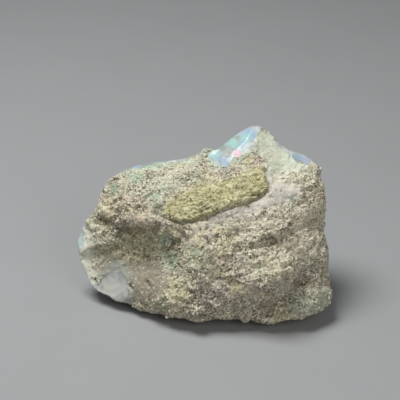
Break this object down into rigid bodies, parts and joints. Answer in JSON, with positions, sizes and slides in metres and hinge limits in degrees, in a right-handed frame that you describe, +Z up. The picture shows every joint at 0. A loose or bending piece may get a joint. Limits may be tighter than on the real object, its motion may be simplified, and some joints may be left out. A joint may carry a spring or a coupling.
{
  "type": "rough ethiopian opal",
  "caption": "Broken rough opal nodule: grainy ash crust with an olive tuff slab in front, bare play-of-colour opal along its peak, edges and back, resting on a small flat spot.",
  "frame": {"origin": "on the surface that the stone rests on, under the middle of its box", "axes": "+Z up, +X along the stone's length towards its peaked end, -Y towards the crusted front"},
  "size_m": [0.0459, 0.0262, 0.0293],
  "materials": {
    "opal_stone": "matte, grainy beige ash crust with an olive slab, and glossy milky opal with pastel play of colour on its bare edges and back"
  },
  "bodies": {
    "root": {"opal_stone": "opal_stone"}
  },
  "joints": []
}
